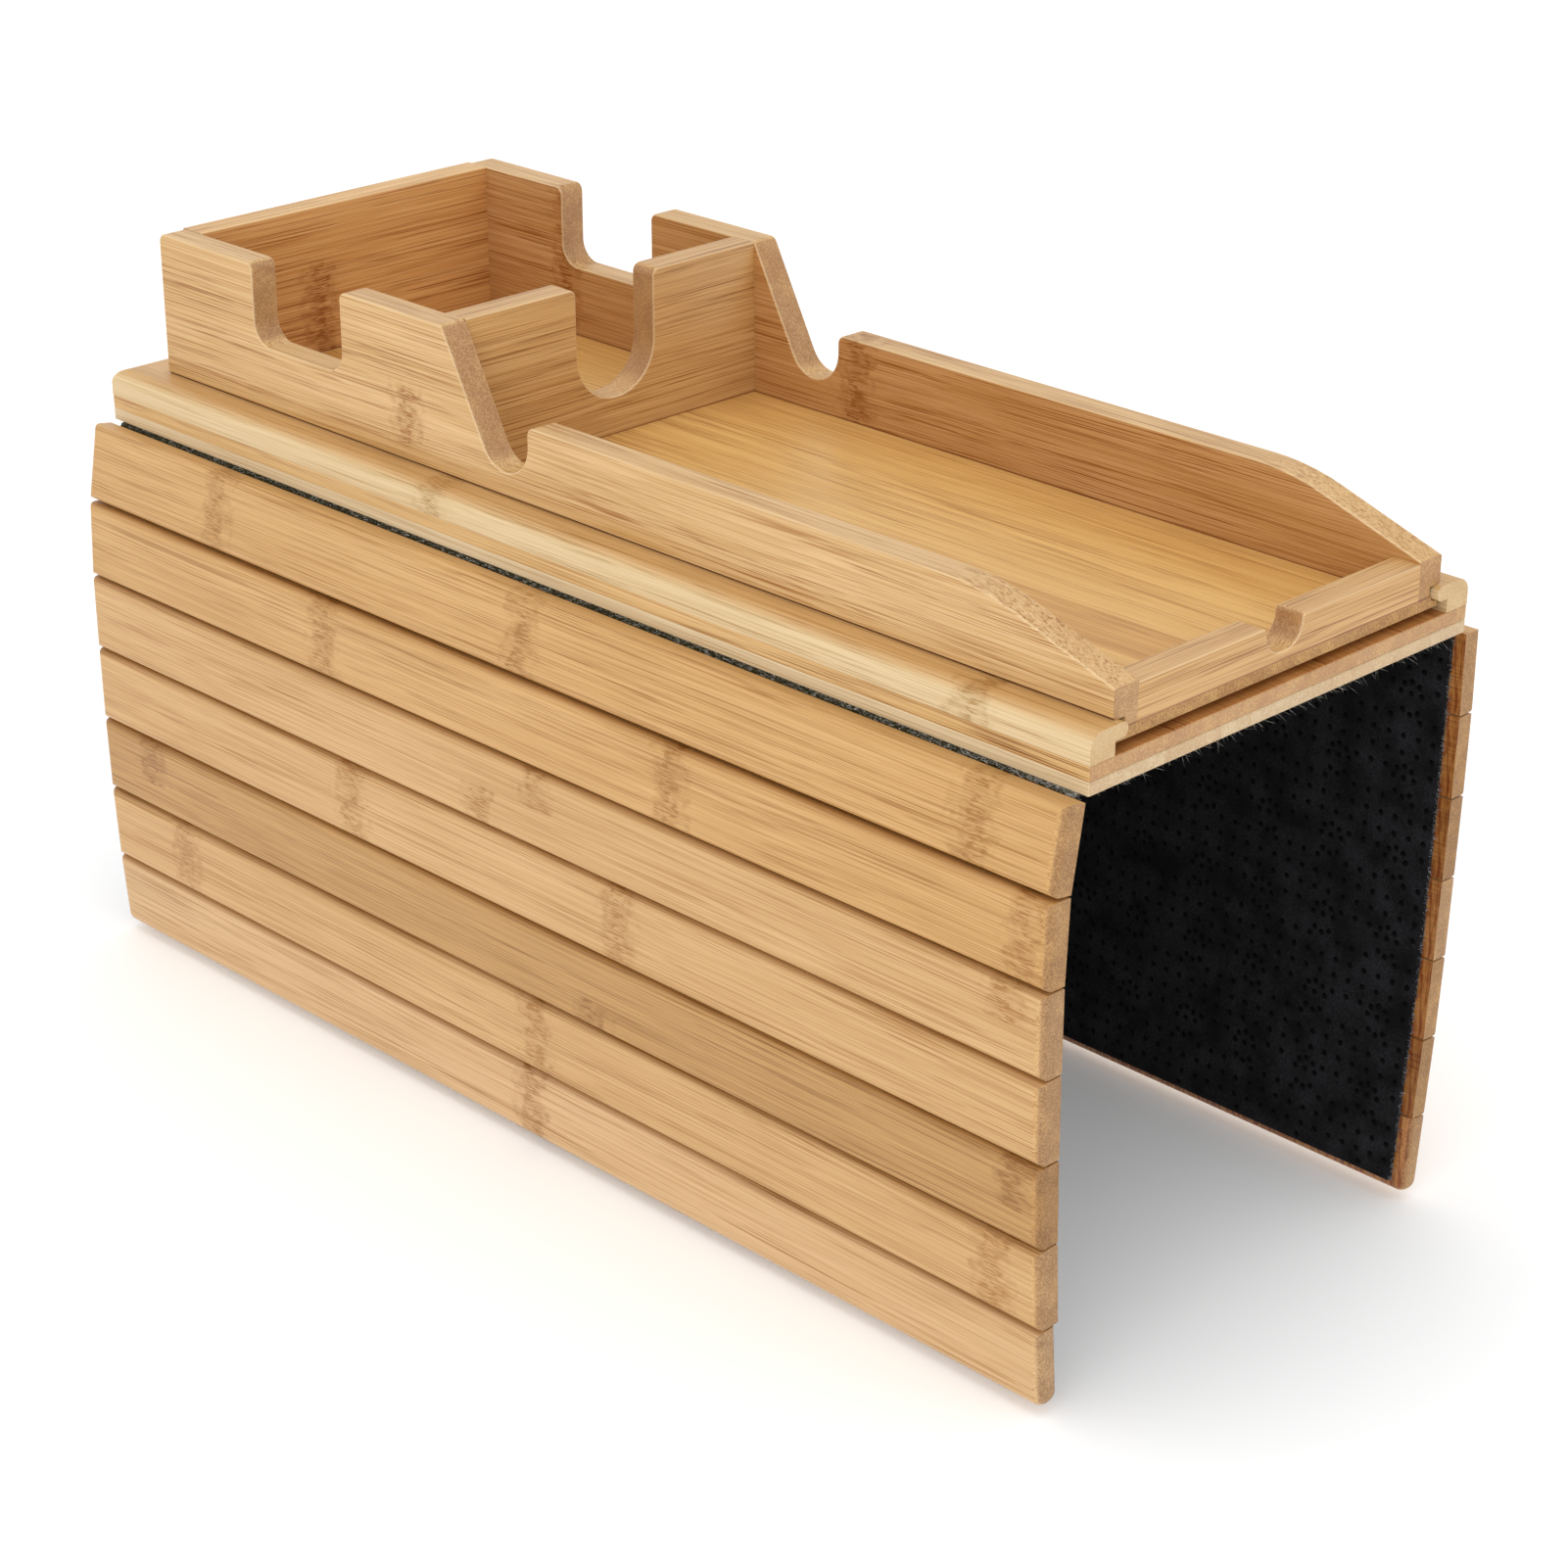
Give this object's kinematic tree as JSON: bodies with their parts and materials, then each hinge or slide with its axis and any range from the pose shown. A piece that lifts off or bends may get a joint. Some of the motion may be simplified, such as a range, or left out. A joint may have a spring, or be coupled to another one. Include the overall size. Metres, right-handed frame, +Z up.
{
  "type": "sofa arm tray",
  "caption": "Bamboo sofa arm tray: a sliding compartment tray with cup, handle and phone notches on a railed base with two slatted felt-backed flaps.",
  "frame": {"origin": "centre of the felt's underside below the base, the face that rests on the sofa's arm", "axes": "+X to the right seen from the front, across the arm; +Y along the arm towards the cup compartment; +Z up"},
  "size_m": [0.1654, 0.38, 0.2187],
  "materials": {
    "base_bamboo": "satin lacquered bamboo board",
    "core_bamboo": "satin lacquered carbonised bamboo core layer",
    "tray_bamboo": "satin lacquered bamboo board",
    "slat_bamboo": "satin lacquered bamboo slat",
    "felt": "needle-punched felt with small anti-slip dots"
  },
  "bodies": {
    "base": {"base_board_lower": "base_bamboo", "base_board_upper": "core_bamboo", "rail_left": "base_bamboo", "rail_right": "base_bamboo", "rear_stop": "base_bamboo", "felt_base": "felt"},
    "tray": {"tray_floor": "tray_bamboo", "tray_wall_left": "tray_bamboo", "tray_wall_right": "tray_bamboo", "tray_wall_rear": "tray_bamboo", "tray_wall_front": "tray_bamboo", "tray_divider": "tray_bamboo"},
    "flap_left_1": {"slat_left_1": "slat_bamboo", "felt_left_1": "felt"},
    "flap_left_2": {"slat_left_2": "slat_bamboo", "felt_left_2": "felt"},
    "flap_left_3": {"slat_left_3": "slat_bamboo", "felt_left_3": "felt"},
    "flap_left_4": {"slat_left_4": "slat_bamboo", "felt_left_4": "felt"},
    "flap_left_5": {"slat_left_5": "slat_bamboo", "felt_left_5": "felt"},
    "flap_left_6": {"slat_left_6": "slat_bamboo", "felt_left_6": "felt"},
    "flap_left_7": {"slat_left_7": "slat_bamboo", "felt_left_7": "felt"},
    "flap_right_1": {"slat_right_1": "slat_bamboo", "felt_right_1": "felt"},
    "flap_right_2": {"slat_right_2": "slat_bamboo", "felt_right_2": "felt"},
    "flap_right_3": {"slat_right_3": "slat_bamboo", "felt_right_3": "felt"},
    "flap_right_4": {"slat_right_4": "slat_bamboo", "felt_right_4": "felt"},
    "flap_right_5": {"slat_right_5": "slat_bamboo", "felt_right_5": "felt"},
    "flap_right_6": {"slat_right_6": "slat_bamboo", "felt_right_6": "felt"},
    "flap_right_7": {"slat_right_7": "slat_bamboo", "felt_right_7": "felt"}
  },
  "joints": [
    {"name": "tray_slide", "type": "slide", "parent": "base", "child": "tray", "axis": [0, -1, 0], "range_m": [0, 0.32]},
    {"name": "hinge_left_1", "type": "hinge", "parent": "base", "child": "flap_left_1", "pos_m": [-0.0729, 0, 0.0015], "axis": [0, -1, 0], "range_deg": [-80.1, 11.9]},
    {"name": "hinge_left_2", "type": "hinge", "parent": "flap_left_1", "child": "flap_left_2", "pos_m": [-0.07697, 0, -0.0218], "axis": [0, -1, 0], "range_deg": [-7.2, 17.8]},
    {"name": "hinge_left_3", "type": "hinge", "parent": "flap_left_2", "child": "flap_left_3", "pos_m": [-0.07805, 0, -0.04477], "axis": [0, -1, 0], "range_deg": [-2.7, 22.3]},
    {"name": "hinge_left_4", "type": "hinge", "parent": "flap_left_3", "child": "flap_left_4", "pos_m": [-0.07805, 0, -0.06777], "axis": [0, -1, 0], "range_deg": [-0.5, 24.5]},
    {"name": "hinge_left_5", "type": "hinge", "parent": "flap_left_4", "child": "flap_left_5", "pos_m": [-0.07785, 0, -0.09077], "axis": [0, -1, 0], "range_deg": [-0.9, 24.1]},
    {"name": "hinge_left_6", "type": "hinge", "parent": "flap_left_5", "child": "flap_left_6", "pos_m": [-0.07729, 0, -0.11377], "axis": [0, -1, 0], "range_deg": [-1.4, 23.6]},
    {"name": "hinge_left_7", "type": "hinge", "parent": "flap_left_6", "child": "flap_left_7", "pos_m": [-0.07616, 0, -0.13674], "axis": [0, -1, 0], "range_deg": [-1.4, 23.6]},
    {"name": "hinge_right_1", "type": "hinge", "parent": "base", "child": "flap_right_1", "pos_m": [0.0729, 0, 0.0015], "axis": [0, -1, 0], "range_deg": [-2.2, 89.8]},
    {"name": "hinge_right_2", "type": "hinge", "parent": "flap_right_1", "child": "flap_right_2", "pos_m": [0.07298, 0, -0.02215], "axis": [0, -1, 0], "range_deg": [-23, 2]},
    {"name": "hinge_right_3", "type": "hinge", "parent": "flap_right_2", "child": "flap_right_3", "pos_m": [0.07226, 0, -0.04514], "axis": [0, -1, 0], "range_deg": [-24.2, 0.8]},
    {"name": "hinge_right_4", "type": "hinge", "parent": "flap_right_3", "child": "flap_right_4", "pos_m": [0.07122, 0, -0.06811], "axis": [0, -1, 0], "range_deg": [-24.8, 0.2]},
    {"name": "hinge_right_5", "type": "hinge", "parent": "flap_right_4", "child": "flap_right_5", "pos_m": [0.07009, 0, -0.09109], "axis": [0, -1, 0], "range_deg": [-23.9, 1.1]},
    {"name": "hinge_right_6", "type": "hinge", "parent": "flap_right_5", "child": "flap_right_6", "pos_m": [0.06853, 0, -0.11403], "axis": [0, -1, 0], "range_deg": [-23.5, 1.5]},
    {"name": "hinge_right_7", "type": "hinge", "parent": "flap_right_6", "child": "flap_right_7", "pos_m": [0.06636, 0, -0.13693], "axis": [0, -1, 0], "range_deg": [-24.8, 0.2]}
  ]
}
